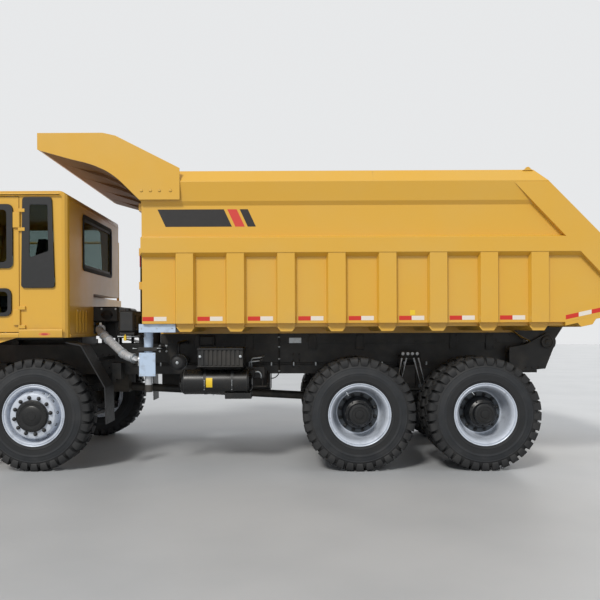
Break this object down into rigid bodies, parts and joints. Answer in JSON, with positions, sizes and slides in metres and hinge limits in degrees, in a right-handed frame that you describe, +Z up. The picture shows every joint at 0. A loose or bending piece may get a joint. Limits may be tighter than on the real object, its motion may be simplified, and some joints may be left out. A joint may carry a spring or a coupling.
{
  "type": "mining dump truck",
  "caption": "Rigid off-road dump truck: offset hollow cab, ribbed rock body with canopy that tips on a rear hinge by a telescopic hoist, steered front wheels, twin-tyred bogie.",
  "frame": {"origin": "on the ground below the middle of the truck's length and width", "axes": "+X to the tail (the truck faces -X), +Y to the truck's right-hand side, +Z up"},
  "size_m": [9.005, 3.4, 3.955],
  "materials": {
    "paint": "satin, worn",
    "black_steel": "satin black, dusty",
    "iron": "painted casting",
    "rim_silver": "satin silver",
    "tread": "matt rubber with dust",
    "pipe": "heat-dulled steel",
    "chrome_rod": "bright",
    "cab_glass": "clear",
    "lamp_lens": "clear lens",
    "trim": "matt black"
  },
  "bodies": {
    "chassis": {"frame": "black_steel", "bumper": "paint", "engine": "iron", "radiator": "black_steel", "hood": "paint", "deck_rails": "paint", "cab_shell": "paint", "cab_glass": "cab_glass", "cab_interior": "trim", "mirrors": "trim", "lamps": "lamp_lens", "mudguards": "trim", "fuel_tank": "black_steel", "battery_box": "black_steel", "side_tank": "black_steel", "exhaust": "pipe", "driveline": "iron", "front_axle": "iron", "leaf_springs": "black_steel", "drive_axles": "iron", "torque_rods": "iron"},
    "knuckle_left": {"knuckle_left": "iron"},
    "knuckle_right": {"knuckle_right": "iron"},
    "tie_rod": {"tie_rod": "black_steel"},
    "wheel_front_left": {"rim_front_left": "rim_silver", "tyre_front_left": "tread"},
    "wheel_front_right": {"rim_front_right": "rim_silver", "tyre_front_right": "tread"},
    "wheel_mid_left": {"rim_mid_left": "rim_silver", "tyres_mid_left": "tread"},
    "wheel_mid_right": {"rim_mid_right": "rim_silver", "tyres_mid_right": "tread"},
    "wheel_rear_left": {"rim_rear_left": "rim_silver", "tyres_rear_left": "tread"},
    "wheel_rear_right": {"rim_rear_right": "rim_silver", "tyres_rear_right": "tread"},
    "door": {"door": "paint", "door_glass": "cab_glass"},
    "dump_body": {"body_floor": "paint", "body_sides": "paint", "body_front": "paint", "canopy": "paint"},
    "hoist_barrel": {"hoist_barrel": "black_steel"},
    "hoist_stage_1": {"hoist_stage_1": "chrome_rod"},
    "hoist_stage_2": {"hoist_stage_2": "chrome_rod"},
    "hoist_rod": {"hoist_rod": "chrome_rod"}
  },
  "joints": [
    {"name": "steer_left", "type": "hinge", "parent": "chassis", "child": "knuckle_left", "pos_m": [-2.9025, -1.14, 0.665], "axis": [0, 0, 1], "range_deg": [-32, 32]},
    {"name": "steer_right", "type": "hinge", "parent": "chassis", "child": "knuckle_right", "pos_m": [-2.9025, 1.14, 0.665], "axis": [0, 0, 1], "range_deg": [-32, 32]},
    {"name": "tie_rod_pivot", "type": "hinge", "parent": "knuckle_left", "child": "tie_rod", "pos_m": [-2.6425, -1.14, 0.488], "axis": [0, 0, 1], "range_deg": [-32, 32]},
    {"name": "wheel_front_left_spin", "type": "hinge", "parent": "knuckle_left", "child": "wheel_front_left", "pos_m": [-2.9025, -1.37, 0.665], "axis": [0, 1, 0], "continuous": true},
    {"name": "wheel_front_right_spin", "type": "hinge", "parent": "knuckle_right", "child": "wheel_front_right", "pos_m": [-2.9025, 1.37, 0.665], "axis": [0, 1, 0], "continuous": true},
    {"name": "wheel_mid_left_spin", "type": "hinge", "parent": "chassis", "child": "wheel_mid_left", "pos_m": [0.9375, -1.235, 0.665], "axis": [0, 1, 0], "continuous": true},
    {"name": "wheel_mid_right_spin", "type": "hinge", "parent": "chassis", "child": "wheel_mid_right", "pos_m": [0.9375, 1.235, 0.665], "axis": [0, 1, 0], "continuous": true},
    {"name": "wheel_rear_left_spin", "type": "hinge", "parent": "chassis", "child": "wheel_rear_left", "pos_m": [2.4075, -1.235, 0.665], "axis": [0, 1, 0], "continuous": true},
    {"name": "wheel_rear_right_spin", "type": "hinge", "parent": "chassis", "child": "wheel_rear_right", "pos_m": [2.4075, 1.235, 0.665], "axis": [0, 1, 0], "continuous": true},
    {"name": "door_swing", "type": "hinge", "parent": "chassis", "child": "door", "pos_m": [-3.0395, -1.614, 2.4], "axis": [0, 0, 1], "range_deg": [0, 70]},
    {"name": "body_tip", "type": "hinge", "parent": "chassis", "child": "dump_body", "pos_m": [3.4825, 0, 1.489], "axis": [0, 1, 0], "range_deg": [0, 45]},
    {"name": "hoist_tilt", "type": "hinge", "parent": "chassis", "child": "hoist_barrel", "pos_m": [-1.8425, 0, 1.15], "axis": [0, 1, 0], "range_deg": [0, 27.2]},
    {"name": "hoist_slide_1", "type": "slide", "parent": "hoist_barrel", "child": "hoist_stage_1", "axis": [0, 0, 1], "range_m": [0, 1.34]},
    {"name": "hoist_slide_2", "type": "slide", "parent": "hoist_stage_1", "child": "hoist_stage_2", "axis": [0, 0, 1], "range_m": [0, 1.34]},
    {"name": "hoist_slide_3", "type": "slide", "parent": "hoist_stage_2", "child": "hoist_rod", "axis": [0, 0, 1], "range_m": [0, 1.34]}
  ],
  "couplings": [
    {"joint": "steer_right", "follows": "steer_left", "ratio": 1},
    {"joint": "tie_rod_pivot", "follows": "steer_left", "ratio": -1},
    {"joint": "hoist_tilt", "follows": "body_tip", "ratio": 0.602},
    {"joint": "hoist_slide_1", "follows": "body_tip", "m_per_rad": 1.701},
    {"joint": "hoist_slide_2", "follows": "body_tip", "m_per_rad": 1.701},
    {"joint": "hoist_slide_3", "follows": "body_tip", "m_per_rad": 1.701}
  ]
}
